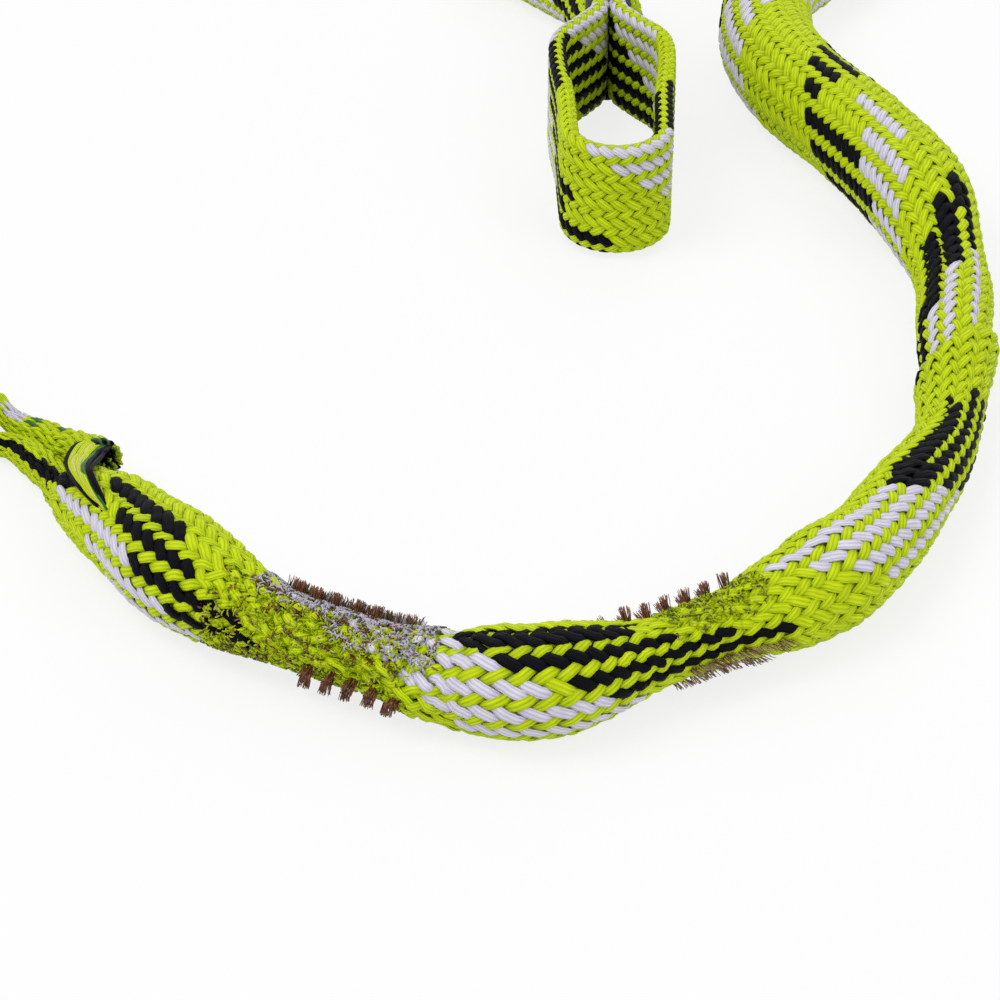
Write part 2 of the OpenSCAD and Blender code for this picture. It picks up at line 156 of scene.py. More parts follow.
# %% [markdown]
# ## Laying yarns
# Strand, thread, cord and bristle are all the same thing to a modeller: a thin yarn along a line.
# A grid is made for each yarn, as many faces long as the line has steps and as many wide as the yarn
# has sides. Every corner of the grid is then carried to its place round the line, the two long edges
# are merged and the ends are closed. The grid brings its own UV map, along the yarn and round it, so
# fibres can follow the yarn in the material.

# %% Lay yarns along lines
def lay_yarns(name, lines, outward, half_width, half_thick, sides=6, finish=None, materials=(), dive_shade=None):
    """One mesh of yarns. lines is yarns x steps x 3 in metres; outward is the thin direction."""
    count, steps = lines.shape[:2]
    bm = bmesh.new()
    bm.loops.layers.uv.new("UVMap")
    for k in range(count):
        bmesh.ops.create_grid(bm, x_segments=steps - 1, y_segments=sides, size=0.5,
                              matrix=Matrix.Translation((0.5, 0.5, k)), calc_uvs=True)
    mesh = bpy.data.meshes.new(name)
    bm.to_mesh(mesh)
    bm.free()

    spots = np.empty(len(mesh.vertices) * 3)
    mesh.vertices.foreach_get("co", spots)
    spots = spots.reshape(-1, 3)
    step = np.rint(spots[:, 0] * (steps - 1)).astype(int)
    side = np.rint(spots[:, 1] * sides).astype(int)
    yarn = np.rint(spots[:, 2]).astype(int)
    turns = np.linspace(0, 2 * np.pi, sides + 1)
    if sides == 6:  # more corners on the half that faces out
        turns = np.radians([0, 45, 90, 135, 180, 270, 360])

    ahead = unit(np.gradient(lines, axis=1))
    across = unit(np.cross(ahead, outward))
    out = np.cross(across, ahead)
    wide = np.broadcast_to(half_width, (count, steps))
    thick = np.broadcast_to(half_thick, (count, steps))
    turn = turns[side][:, None]
    spots = (lines[yarn, step] + across[yarn, step] * wide[yarn, step][:, None] * np.cos(turn)
             + out[yarn, step] * thick[yarn, step][:, None] * np.sin(turn))
    mesh.vertices.foreach_set("co", spots.ravel())

    length = np.concatenate([np.zeros((count, 1)), np.cumsum(
        np.linalg.norm(np.diff(lines, axis=1), axis=2), axis=1)], axis=1)
    corner = np.empty(len(mesh.loops), int)
    mesh.loops.foreach_get("vertex_index", corner)
    uv = np.stack([length[yarn, step][corner] / MM, turns[side][corner] / (2 * np.pi)], 1)
    uv[:, 0] += 7.3 * yarn[corner]
    mesh.uv_layers[0].data.foreach_set("uv", uv.ravel())
    face = corner.reshape(-1, 4)
    if finish is not None:
        finish = np.broadcast_to(np.reshape(finish, (count, -1)), (count, steps))
        mesh.polygons.foreach_set("material_index", finish[yarn[face[:, 0]], step[face].min(1)])
    # dive_shade is painted shade: how far each point's colour is darkened where its strand sinks under
    # others
    if dive_shade is not None:
        depth = mesh.attributes.new("dive_shade", "FLOAT", "POINT")
        depth.data.foreach_set("value", dive_shade[yarn, step])

    bm = bmesh.new()
    bm.from_mesh(mesh)
    bm.verts.ensure_lookup_table()
    seam = [bm.verts[i] for i in np.flatnonzero((side == 0) | (side == sides))]
    bmesh.ops.remove_doubles(bm, verts=seam, dist=1e-7)
    rims = [e for e in bm.edges if e.is_boundary]
    caps = bmesh.ops.holes_fill(bm, edges=rims, sides=0)["faces"]
    for cap in caps:
        cap.material_index = next(f for f in cap.edges[0].link_faces if f != cap).material_index
        cap.smooth = False
    bm.to_mesh(mesh)
    bm.free()
    mesh.shade_smooth()
    for material in materials:
        mesh.materials.append(material)
    print("%s: %d yarns, %d faces" % (name, count, len(mesh.polygons)))
    return put_in_scene(name, mesh)


# %% [markdown]
# ## Yarn finishes
# The sleeve is braided from polyester filament. Close up, each strand is a flat ribbon of parallel
# fibres with a soft shine, and no two strands take the dye quite alike. One node group makes the
# fibres and the unevenness, and paints shade into the colour where a strand dives under another and in
# the grooves between its plies. Every yarn on the rope uses it with its own colour and fineness. The
# group gives out a colour, a roughness and a height. How much a yarn shines, its sheen and specular
# level, is set on each material's own shader.

# %% Helpers for materials
def node_tools(tree):
    """Short ways to add a node, to link two sockets and to calculate with sockets and numbers."""
    def add(kind, fixed=None, **settings):
        node = tree.nodes.new(kind)
        for key, value in settings.items():
            setattr(node, key, value)
        for key, value in (fixed or {}).items():
            node.inputs[key].default_value = value
        return node

    def calc(operation, *terms, clamp=False):
        node = add("ShaderNodeMath", operation=operation, use_clamp=clamp)
        for socket, term in zip(node.inputs, terms):
            if isinstance(term, float):
                socket.default_value = term
            else:
                tree.links.new(term, socket)
        return node.outputs[0]

    return add, tree.links.new, calc


def new_material(name, finish):
    """A material and its shader, with the shader's fixed values."""
    material = bpy.data.materials.new(name)
    material.use_nodes = True
    shader = material.node_tree.nodes["Principled BSDF"]
    for key, value in finish.items():
        shader.inputs[key].default_value = value
    return material, shader


def two_tone_material(name, finish, scale, dark, light, low=0.0, high=1.0):
    """A material that wanders between two tones from place to place."""
    material, shader = new_material(name, finish)
    add, link, calc = node_tools(material.node_tree)
    spots = add("ShaderNodeTexNoise", {"Scale": scale})
    tone = add("ShaderNodeValToRGB")
    for end, position, colour in zip(tone.color_ramp.elements, (low, high), (dark, light)):
        end.position, end.color = position, (*colour, 1)
    link(add("ShaderNodeTexCoord").outputs["Object"], spots.inputs["Vector"])
    link(spots.outputs["Fac"], tone.inputs["Fac"])
    link(tone.outputs["Color"], shader.inputs["Base Color"])
    return material, shader


# %% Node group: fibres along a yarn, with painted shade
def make_fibres():
    group = bpy.data.node_groups.new("fibres along a yarn", "ShaderNodeTree")
    face = group.interface
    for name, kind, value in (("Colour", "Color", (0.5, 0.5, 0.5, 1)),
                              ("Shade and dye colour", "Color", (0.2, 0.2, 0.2, 1)),
                              ("Fibres", "Float", 14.0), ("Twist", "Float", 0.0),
                              ("Unevenness", "Float", 0.3), ("Plies", "Float", 25.0)):
        face.new_socket(name, in_out="INPUT", socket_type="NodeSocket" + kind).default_value = value
    for name, kind in (("Colour", "Color"), ("Roughness", "Float"), ("Height", "Float")):
        face.new_socket(name, in_out="OUTPUT", socket_type="NodeSocket" + kind)
    add, link, calc = node_tools(group)
    given, result = add("NodeGroupInput").outputs, add("NodeGroupOutput").inputs

    # Long thin streaks along the yarn, and rounded plies that wind with it
    split = add("ShaderNodeSeparateXYZ")
    link(add("ShaderNodeUVMap", uv_map="UVMap").outputs["UV"], split.inputs[0])
    along, across = split.outputs["X"], split.outputs["Y"]
    lean = calc("MULTIPLY_ADD", along, given["Twist"], across)
    spot = add("ShaderNodeCombineXYZ")
    link(calc("MULTIPLY", along, 0.35), spot.inputs[0])
    link(calc("MULTIPLY", lean, given["Fibres"]), spot.inputs[1])
    streak_noise = add("ShaderNodeTexNoise", {"Scale": 1.0, "Detail": 2.0}, noise_dimensions="2D")
    link(spot.outputs[0], streak_noise.inputs["Vector"])
    streaks = streak_noise.outputs["Fac"]
    ridge = calc("ABSOLUTE", calc("SINE", calc("MULTIPLY", lean, given["Plies"])))

    # The dye takes unevenly. Painted shade darkens a strand where it dives under another
    # and in the grooves between its plies
    patches = add("ShaderNodeTexNoise", {"Scale": 260.0, "Detail": 2.0})
    link(add("ShaderNodeTexCoord").outputs["Object"], patches.inputs["Vector"])
    blend = add("ShaderNodeMapRange", {"From Min": 0.3, "From Max": 0.75})
    link(streaks, blend.inputs["Value"])
    uneven = calc("MULTIPLY", patches.outputs["Fac"], given["Unevenness"])
    uneven_dye = calc("MULTIPLY_ADD", blend.outputs["Result"], given["Unevenness"], uneven, clamp=True)
    dive_shade = add("ShaderNodeAttribute", attribute_name="dive_shade").outputs["Fac"]
    dark = calc("ADD", dive_shade, calc("MULTIPLY_ADD", ridge, -0.4, 0.4))
    mix = add("ShaderNodeMix", data_type="RGBA")
    link(calc("ADD", dark, uneven_dye, clamp=True), mix.inputs["Factor"])
    link(given["Colour"], mix.inputs["A"])
    link(given["Shade and dye colour"], mix.inputs["B"])
    link(mix.outputs["Result"], result["Colour"])

    rough = add("ShaderNodeMapRange", {"To Min": 0.45, "To Max": 0.7})
    link(streaks, rough.inputs["Value"])
    link(rough.outputs["Result"], result["Roughness"])
    link(calc("ADD", streaks, ridge), result["Height"])
    return group


fibres = make_fibres()
print("group:", fibres.name, "with", len(fibres.nodes), "nodes")


# %% Yarn finishes
def yarn_material(name, colour, shade_and_dye_colour, fibre_count=14, twist=0.0, unevenness=0.3, sheen=0.25,
                  relief=0.00012, sheen_tint=(1, 1, 1), gloss=0.35):
    """A yarn's finish: fibres, a soft shine and a little fuzz."""
    material, shader = new_material(name, {"Sheen Weight": sheen, "Sheen Roughness": 0.4,
                                           "Sheen Tint": (*sheen_tint, 1), "Specular IOR Level": gloss})
    add, link, calc = node_tools(material.node_tree)
    group = add("ShaderNodeGroup", node_tree=fibres)
    for key, value in (("Colour", (*colour, 1)), ("Shade and dye colour", (*shade_and_dye_colour, 1)), ("Fibres", fibre_count),
                       ("Twist", twist), ("Unevenness", unevenness)):
        group.inputs[key].default_value = value
    bump = add("ShaderNodeBump", {"Strength": 0.8, "Distance": relief})
    link(group.outputs["Colour"], shader.inputs["Base Color"])
    link(group.outputs["Roughness"], shader.inputs["Roughness"])
    link(group.outputs["Height"], bump.inputs["Height"])
    link(bump.outputs["Normal"], shader.inputs["Normal"])
    return material


lime = yarn_material("lime filament", (0.72, 0.89, 0.003), (0.30, 0.41, 0.001), sheen=0.1,
                     sheen_tint=(0.8, 1, 0.1), gloss=0.15)
white = yarn_material("white filament", (0.84, 0.81, 0.90), (0.42, 0.38, 0.56), unevenness=0.25)
black = yarn_material("black filament", (0.0015, 0.0015, 0.005), (0.001, 0.001, 0.002), unevenness=0.4,
                      sheen=0.0, gloss=0.08)
dark_green = yarn_material("dark green filament", (0.04, 0.25, 0.01), (0.01, 0.08, 0.003), unevenness=0.5,
                           sheen=0.1)
BLACK, WHITE, LIME, DARK_GREEN = range(4)
braid_finishes = (black, white, lime, dark_green)
print("finishes:", [m.name for m in bpy.data.materials if "filament" in m.name])

# %% [markdown]
# ## The pull cord
# A thin braided cord is seized into a loop through the rope's eye. About a metre of it is wound up
# for storage in nine turns, with the brass weight on its far end. A cord is a fixed length of
# something limp, so its route comes first: from its own end in the seizing, through the eye and
# back, down to the floor, round the coil layer by layer, over the top and on to the weight.

# %% Route of the pull cord, in millimetres
def polar(degrees, radius=1.0):
    """The two coordinates of a point at an angle and a radius."""
    angle = math.radians(degrees)
    return radius * math.cos(angle), radius * math.sin(angle)


cord_r = 1.5
eye_hole = np.array([-97.0, -86.5, 5.6])
loop_r, loop_reach, leg_gap = 4.0, 12.0, 1.6
lead_way = unit(np.array([*polar(120), -0.123]))
loop_up = unit(np.cross(np.cross(lead_way, [0, 0, 1]), lead_way))
loop_centre = eye_hole + loop_r * lead_way
coil_at = np.array([-134.5, -73.0])
layers = (2.15, 5.15, 8.15)
turn_radii = ((20, 17, 14), (14, 17, 20), (20, 17, 14))
lead = [[-109.5, -65, 3], [-112, -60.6, 2.2], [-116, -56, 1.6], [-121.5, -53.3, 1.8], [-128, -52.6, 2.1]]
tail_run = [[-156, -87, 1.9], [-155.4, -93, 3.2], [-155, -99, 4], [-155, -104, 4], [-155, -110, 4]]


def on_loop(reach, height):
    """A point in the plane of the cord's loop, from its centre."""
    return list(loop_centre + reach * lead_way + height * loop_up)


def on_coil(degrees, radius, height):
    x, y = polar(degrees, radius)
    return [coil_at[0] + x, coil_at[1] + y, height]


through_eye = [on_loop(19, -leg_gap), on_loop(loop_reach, -leg_gap), on_loop(6, -2.8)]
through_eye += [on_loop(*polar(a, loop_r)) for a in range(-80, -281, -25)]
through_eye += [on_loop(6, 2.8), on_loop(loop_reach, leg_gap), on_loop(17, 1.2)]

coil_turns, radius, height = [], 20, layers[0]
for level, radii in zip(layers, turn_radii):
    for goal in radii:
        for k in range(12):
            share = min(1, k / 3)
            coil_turns.append(on_coil(90 + 30 * k, radius + (goal - radius) * share,
                                      height + (level - height) * share))
        radius, height = goal, level
over_the_top = [on_coil(*spot) for spot in (
    (90, 14, 8.2), (112, 15.6, 10.2), (130, 19, 11.2), (146, 22, 9.6), (162, 23.4, 6), (180, 23.4, 2.8),
    (200, 23, 1.7))]
cord_points = through_eye + lead + coil_turns + over_the_top + tail_run
cord_spots = smooth_line(cord_points, np.linspace(0, len(cord_points) - 1, 900)) * MM
cord_spots[:, 2] = np.maximum(cord_spots[:, 2], cord_r * MM)

# %% Lay the pull cord
braid_turns = 0.22
cord_black = yarn_material("black cord", (0.006, 0.006, 0.009), (0.03, 0.03, 0.04), fibre_count=10,
                           twist=braid_turns, unevenness=0.6, sheen=0.15, relief=0.0003)
cord_up = np.broadcast_to([0.0, 0.0, 1.0], cord_spots.shape).copy()
cord_up[:len(cord_up) // 10] = np.cross(lead_way, loop_up)
pull_cord = lay_yarns("pull_cord_braid", cord_spots[None], cord_up[None], cord_r * MM, cord_r * MM,
                      sides=12, materials=(cord_black,))
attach(pull_cord, "pull_cord_part")
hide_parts("pull_cord_loop", "pull_cord", "pull_cord_coil", "pull_cord_tail")

# %% [markdown]
# ### Seizing, strap and weight
# The loop is closed by a seizing: waxed thread wound tightly round both legs of the cord. A short
# strap holds the coil. The weight is turned from a brass rod, with two grooves for the fingers and a
# round nose that finds its way down the bore, so its outline is spun round an axis as on a lathe.

# %% Wind the seizing
thread = yarn_material("waxed thread", (0.010, 0.010, 0.013), (0.035, 0.035, 0.045), fibre_count=6,
                       twist=0.6, unevenness=0.5, sheen=0.1)
thread_d = 0.55


def thread_turns(start, way, first_up, length, half_wide, half_high, thread_mm):
    """A thread wound from start along a way, round an oval; places in millimetres."""
    turns = length / thread_mm
    angle = np.linspace(0, 2 * np.pi * turns, int(turns * 20))
    side = np.cross(way, first_up)
    spots = (start + np.outer(angle / (2 * np.pi) * thread_mm, way)
             + np.outer(half_wide * np.cos(angle), side) + np.outer(half_high * np.sin(angle), first_up))
    away = np.outer(np.cos(angle), side) + np.outer(np.sin(angle), first_up)
    return spots[None] * MM, away[None]


seizing_spots, seizing_away = thread_turns(loop_centre + 12.4 * lead_way, lead_way, loop_up, 8.2,
                                           1.9, 2.9, thread_d)
seizing_spots[..., 2] = np.maximum(seizing_spots[..., 2], thread_d / 2 * MM)
seizing = lay_yarns("seizing_thread", seizing_spots, seizing_away, thread_d / 2 * MM, thread_d / 2 * MM,
                    materials=(thread,))
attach(seizing, "pull_cord_part")
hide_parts("cord_seizing")

# %% Wrap the strap round the coil
strap_cloth = yarn_material("woven strap", (0.012, 0.012, 0.016), (0.05, 0.05, 0.06), fibre_count=24,
                            unevenness=0.6, sheen=0.3)
strap_in, strap_out, strap_low, strap_high = 11.9, 21.85, 0.35, 9.95
corner_r, second_layer = 1.6, 0.65
strap_half_w, strap_half_t = 2.5, 0.28


def strap_path():
    """Once round the bundle of turns and a third further, in the plane across it."""
    points = []
    wraps = [(strap_out, strap_high, 0), (strap_in, strap_high, 90), (strap_in, strap_low, 180),
             (strap_out, strap_low, 270)]
    for k in range(6):
        x, z, first = wraps[k % 4]
        grow = 0 if k < 4 else second_layer
        x += grow if x == strap_out else -grow
        z += grow if z == strap_high else 0
        middle_x = x - corner_r if x > 17 else x + corner_r
        middle_z = z - corner_r if z > 5 else z + corner_r
        for a in range(0, 91, 30):
            corner_x, corner_z = polar(first + a, corner_r)
            points.append([coil_at[0] + middle_x + corner_x, coil_at[1], middle_z + corner_z])
    return np.array(points)


strap_points = strap_path()
strap_spots = smooth_line(strap_points, np.linspace(0, len(strap_points) - 1, 140)) * MM
bundle_middle = np.array([coil_at[0] + 16.9, coil_at[1], 5.1]) * MM
strap = lay_yarns("coil_strap", strap_spots[None], unit(strap_spots - bundle_middle)[None],
                  strap_half_w * MM, strap_half_t * MM, sides=8, materials=(strap_cloth,))
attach(strap, "pull_cord_part")
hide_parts("coil_tie")

# %% Turn the brass weight
brass, brass_shader = two_tone_material("turned brass", {"Metallic": 1.0}, 180.0, (0.50, 0.33, 0.11),
                                        (0.78, 0.57, 0.25), 0.35, 0.6)
add, link, calc = node_tools(brass.node_tree)
lathe_marks = add("ShaderNodeMapping", {"Scale": (300, 9000, 300)})
marks = add("ShaderNodeTexNoise", {"Scale": 1.0})
brass_rough = add("ShaderNodeMapRange", {"To Min": 0.18, "To Max": 0.42})
brass_bump = add("ShaderNodeBump", {"Distance": 0.00002})
link(add("ShaderNodeTexCoord").outputs["Object"], lathe_marks.inputs["Vector"])
link(lathe_marks.outputs["Vector"], marks.inputs["Vector"])
link(marks.outputs["Fac"], brass_rough.inputs["Value"])
link(brass_rough.outputs["Result"], brass_shader.inputs["Roughness"])
link(marks.outputs["Fac"], brass_bump.inputs["Height"])
link(brass_bump.outputs["Normal"], brass_shader.inputs["Normal"])

# Radius and distance from the cord's end of the weight, in millimetres
weight_outline = [(1.7, 12.0), (1.7, 0.5), (2.1, 0), (2.9, 0), (3.7, 0.5), (4, 1.2), (4, 5.2), (3.5, 5.8),
                  (3.5, 6.6), (4, 7.2), (4, 9.2), (3.5, 9.8), (3.5, 10.6), (4, 11.2), (4, 27.5),
                  (3.85, 28.6), (3.4, 29.8), (2.7, 30.9), (1.7, 31.7), (0.8, 32), (0, 32)]
weight_at = Vector((-0.155, -0.099, 0.004))


def spin_weight():
    bm = bmesh.new()
    rim = [bm.verts.new((r * MM, -d * MM, 0)) for r, d in [(0, 12.0)] + weight_outline]
    edges = [bm.edges.new(pair) for pair in zip(rim, rim[1:])]
    bmesh.ops.spin(bm, geom=rim + edges, cent=(0, 0, 0), axis=(0, 1, 0), angle=2 * math.pi, steps=48,
                   use_merge=True)
    bmesh.ops.remove_doubles(bm, verts=bm.verts, dist=1e-6)
    bmesh.ops.recalc_face_normals(bm, faces=bm.faces)
    bmesh.ops.translate(bm, verts=bm.verts, vec=weight_at)
    mesh = bpy.data.meshes.new("turned_weight")
    bm.to_mesh(mesh)
    bm.free()
    mesh.shade_smooth()
    mesh.materials.append(brass)
    piece = put_in_scene("turned_weight", mesh)
    crease = piece.modifiers.new("crisp edges", "BEVEL")
    crease.width, crease.segments, crease.limit_method = 0.00015, 2, "ANGLE"
    return piece


weight = spin_weight()
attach(weight, "pull_cord_part")
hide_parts("brass_weight")
print("weight: %d faces" % len(weight.data.polygons))

# %% [markdown]
# ## How the braid runs
# The sleeve has 26 strands leaning each way. Each goes over two and under two of the others, which
# gives rows of slanted stitches, straight along the rope. Where the sleeve is thin its strands run
# steeper, because a strand keeps its length, so the stitches are counted along the line from the
# sleeve's radius. A row's angle round the rope is chosen at a few distances, as the sleeve is never
# pulled on quite straight. The marker is then the angle of the first strand at each place, which
# keeps the rows at that angle.

# %% Count the stitches
strands = 26
stitch_length = 3.9
row_angle = [(0, 85), (20, 90), (45, 99), (60, 98), (100, 95), (137, 95), (157, 86), (190, 86), (205, 94),
             (222, 101), (235, 104), (250, 100), (280, 110), (300, 116), (320, 110), (340, 108), (700, 160)]
first_stitch = 58


def smoothed(values, reach):
    kernel = np.hanning(2 * reach + 1)
    return np.convolve(np.pad(values, reach, mode="edge"), kernel / kernel.sum(), mode="valid")


def count_stitches(table):
    """Stitches from the start of a line, one stitch of the sleeve being shorter where it is thick."""
    round_step = 2 * np.pi * table["radius"] / MM / strands
    pitch = np.sqrt(np.maximum(stitch_length ** 2 - round_step ** 2, 1.5 ** 2)) * MM
    steps = np.diff(table["along"]) / ((pitch[1:] + pitch[:-1]) / 2)
    return np.concatenate([[0], np.cumsum(steps)])


rope["stitch"] = count_stitches(rope)
even = np.arange(0, rope["along"][-1] / MM, 0.5)
knots = np.array(row_angle, float)
rows = smoothed(np.interp(even, knots[:, 0], knots[:, 1]), 16)
rope["marker"] = (np.interp(rope["along"] / MM, even, rows)
                  + 360 / strands * (rope["stitch"] - 0.25 - first_stitch))
print("stitches along the rope: %.0f" % rope["stitch"][-1])

# %% [markdown]
# ## Braiding a sleeve
# Over two, under two is a wave: a strand rises over a pair and sinks under the next pair, and the
# strands of the other lean do the opposite at the same crossings. So each strand's line is its angle
# round the rope at each stitch, and its depth is that wave with its tops pressed flat. On the tail
# loop the sleeve is flattened, and the same angles run round a stadium instead of a circle. A stitch
# keeps one colour over its whole length, so a bar of flecks is a list of whole stitches: its lean,
# the distances where it starts and ends, the angles that it lies between, and its colour.

# %% The sleeve's section and its strands
def stadium(turn, half_thick, half_high):
    """Points and outward ways round a stadium standing on end, and the length of its outline."""
    straight = half_high - half_thick
    half_circle = np.pi * half_thick
    outline = 4 * straight + 2 * half_circle
    d = (turn / (2 * np.pi) % 1) * outline
    edges = np.array([straight, straight + half_circle, 3 * straight + half_circle,
                      3 * straight + 2 * half_circle])
    part = np.searchsorted(edges, d)
    where = [part == k for k in range(4)]
    top, low = (d - straight) / half_thick, (d - edges[2]) / half_thick
    x = np.select(where, [half_thick + 0 * d, half_thick * np.cos(top), -half_thick + 0 * d,
                          -half_thick * np.cos(low)], half_thick)
    y = np.select(where, [d, straight + half_thick * np.sin(top), straight - (d - edges[1]),
                          -straight - half_thick * np.sin(low)], d - outline)
    nx = np.select(where, [1 + 0 * d, np.cos(top), -1 + 0 * d, -np.cos(low)], 1)
    ny = np.select([where[1], where[3]], [np.sin(top), -np.sin(low)], 0)
    return np.stack([x, y], -1), np.stack([nx, ny], -1), outline


strand_half, wave, strand_widen = 0.45 * MM, 0.42 * MM, 1.08
long_float, row_float, tops_pressed = 0.28, 0.7, 1.25
fold_at, fold_tilt = 251, 7
thick_rows = [(20, 45, 94), (100, 130, 94), (194, 232, 94), (262, 291, 52), (276, 300, 85)]
# The strands that lean right are black, white and lime, and all that lean left are lime
own_colours = [BLACK] * 8 + [WHITE] * 8 + [LIME] * 10 + [LIME] * strands
strand_step = 2 * np.pi / strands
strand = np.arange(strands)[:, None]
leans_left = np.repeat([0, 1], strands)[:, None]


def long_floats(s, turn):
    """Rows of stitches that stand out, between two distances at one angle, have longer floats."""
    longer = 0 * turn
    for s0, s1, angle in thick_rows:
        along_it = np.clip(np.minimum(s / MM - s0, s1 - s / MM) / 2, 0, 1)
        longer = longer + row_float * along_it * np.maximum(np.cos(4 * (turn - math.radians(angle))), 0) * (
            np.cos(turn - math.radians(angle)) > 0.9)
    return longer


def fold(s, turn):
    """The lip of the fold in the tail floss, faded out where the rope lies on the floor."""
    past_fold = s / MM - fold_at + fold_tilt * np.cos(turn)
    clear_of_floor = np.clip(1 + 1.5 * np.sin(turn), 0, 1)
    lip = np.interp(past_fold, [-14, -4, 0, 1.2, 5, 14], [0, 0.8, 1.1, -0.9, -0.6, 0])
    return MM * clear_of_floor * lip


def colour_stitches(table, v, patches):
    """One colour for each stitch, chosen at its middle. A later patch covers an earlier one."""
    middle = np.vstack([(4 * np.round((2 * strand + 2 * v - 0.5) / 4) + 0.5) / 2 - strand,
                        strand - 0.25 - 1 - 2 * np.round((2 * strand - 2 * v - 2.5) / 4)])
    middle_s = np.interp(middle, table["stitch"], table["along"])
    marker = np.radians(np.interp(middle_s, table["along"], table["marker"]))
    wound_back = np.vstack([0 * v * strand, 2 * strand_step * middle[strands:]])
    middle_turn = np.degrees(strand_step * np.vstack([strand, strand]) + marker - wound_back) % 360
    finish = np.array(own_colours)[:, None] + 0 * middle.astype(int)
    for lean, s0, s1, turn0, turn1, colour in patches:
        finish[(leans_left == lean) & (middle_s >= s0 * MM) & (middle_s <= s1 * MM)
               & ((middle_turn - turn0) % 360 <= turn1 - turn0)] = colour
    return finish


def braid(name, table, first, last, body=None, node_names=(), rings=6, patches=()):
    """The sleeve of a line between two distances. patches recolour stitches by distance and angle."""
    v0, v1 = np.interp([first, last], table["along"], table["stitch"])
    v = np.linspace(v0, v1, int((v1 - v0) * rings) + 2)
    s = np.interp(v, table["stitch"], table["along"])
    mark = np.radians(read(table, "marker", s))
    turn = np.vstack([strand_step * strand + mark, strand_step * strand + mark - 2 * strand_step * v])
    over = tops_pressed * np.cos(np.pi / 2 * (2 * strand + 2 * v - 0.5))
    under = -tops_pressed * np.cos(np.pi / 2 * (2 * strand - 2 * v - 0.5))
    r = read(table, "radius", s)
    outline = 2 * np.pi * r
    r, bias = r + 0 * turn, long_float + 0 * turn
    if table is rope:
        r = r + fold(s, turn)
        bias = bias + long_floats(s, turn)
    lift = np.clip(np.vstack([over, under]) + bias * (1 - 2 * leans_left), -1, 1)

    # Places round the line, on a circle or where the sleeve is flat on a stadium
    ways = np.stack([np.cos(turn), np.sin(turn)], -1)
    places = r[..., None] * ways
    if "flat" in table:
        share = read(table, "flat", s)[:, None]
        flat_places, flat_ways, flat_outline = stadium(turn, table["band"] / 2, band_h / 2)
        places = places + (flat_places - places) * share
        ways = unit(ways + (flat_ways - ways) * share)
        outline = outline + (flat_outline - outline) * share[:, 0]
    places = places - ways * (strand_half + wave * (1 - lift))[..., None]

    # Worn stretches are a little shaken
    rough = read(table, "rough", s) if "rough" in table else 0 * s
    shake = np.random.default_rng(1).normal(0, 1, (3, 2 * strands, len(s)))
    shake = (shake + np.roll(shake, 1, 2) + np.roll(shake, 2, 2)) / 1.7 * rough
    shake = shake * np.clip(np.minimum(v - v0, v1 - v), 0, 1)
    places = places + np.moveaxis(shake[:2], 0, -1)
    left, up = read(table, "left", s), read(table, "up", s)
    lines = (read(table, "centre", s) + places[..., :1] * left + places[..., 1:] * up
             + shake[2][..., None] * read(table, "ahead", s))
    lines[..., 2] = np.maximum(lines[..., 2], strand_half)
    out = ways[..., :1] * left + ways[..., 1:] * up

    # A strand fills the room that it has between its neighbours
    spacing = outline / strands
    pitch = np.gradient(s) / np.gradient(v)
    half = strand_widen * spacing * pitch / np.sqrt(pitch ** 2 + spacing ** 2) / 2 * (0.96 + 0.12 * lift)
    # Painted shade: a strand's colour is darkened where it sinks under its neighbours
    piece = lay_yarns(name, lines, out, half, strand_half, finish=colour_stitches(table, v, patches),
                      materials=braid_finishes, dive_shade=0.3 * (1 - lift))
    if body:
        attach(piece, body)
    if node_names:
        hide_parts(*node_names)
    return piece


# %% [markdown]
# ### Sleeve pieces between the necks
# The sleeve is one unbroken tube on the real rope. Here it is cut into lengths. The rear lengths
# ride with the rear solid, and a length that spans a flexing neck stays fixed where it lies.

# %% Braid the rope from the eye to the tail neck
rope["rough"] = MM * np.interp(rope["along"] / MM, [48, 56, 96, 104, 122, 130, 150, 158],
                               [0.07, 0.26, 0.26, 0.07, 0.07, 0.14, 0.14, 0.07])


def over_neck(piece):
    """Bakes a piece's place into its mesh; it is not bent round the neck."""
    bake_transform(piece)


